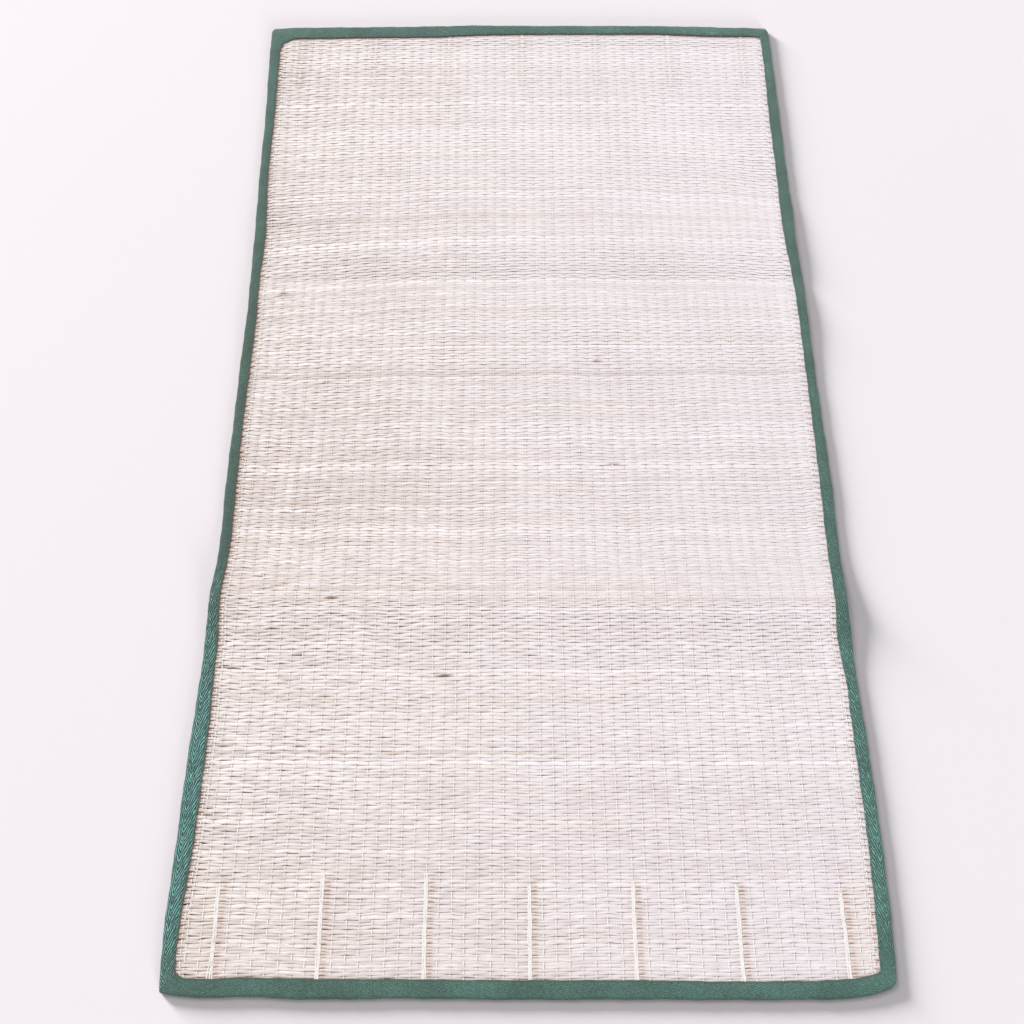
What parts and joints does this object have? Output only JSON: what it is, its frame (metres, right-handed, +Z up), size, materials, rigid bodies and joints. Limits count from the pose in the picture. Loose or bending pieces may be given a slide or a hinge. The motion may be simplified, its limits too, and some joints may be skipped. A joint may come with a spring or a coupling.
{
  "type": "sedge sleeping mat",
  "caption": "Flat woven sedge sleeping mat, creased across where it is folded in three, bound with green tape and stiffened with thick cords at both ends.",
  "frame": {"origin": "middle of the mat, on the surface that it lies on", "axes": "+X across the mat, +Y along it towards the far end, +Z up"},
  "size_m": [0.9123, 1.8315, 0.0129],
  "materials": {
    "sedge_weave": "dry woven sedge, pale cream with tan streaks, slight sheen",
    "binding_tape": "green herringbone cotton tape, folded over the edge",
    "end_cord": "thick white cotton cord"
  },
  "bodies": {
    "root": {"sedge_sheet": "sedge_weave", "tape_left": "binding_tape", "tape_right": "binding_tape", "tape_near": "binding_tape", "tape_far": "binding_tape", "near_end_cord_1": "end_cord", "near_end_cord_2": "end_cord", "near_end_cord_3": "end_cord", "near_end_cord_4": "end_cord", "near_end_cord_5": "end_cord", "near_end_cord_6": "end_cord", "near_end_cord_7": "end_cord", "far_end_cord_1": "end_cord", "far_end_cord_2": "end_cord", "far_end_cord_3": "end_cord", "far_end_cord_4": "end_cord", "far_end_cord_5": "end_cord", "far_end_cord_6": "end_cord", "far_end_cord_7": "end_cord"}
  },
  "joints": []
}
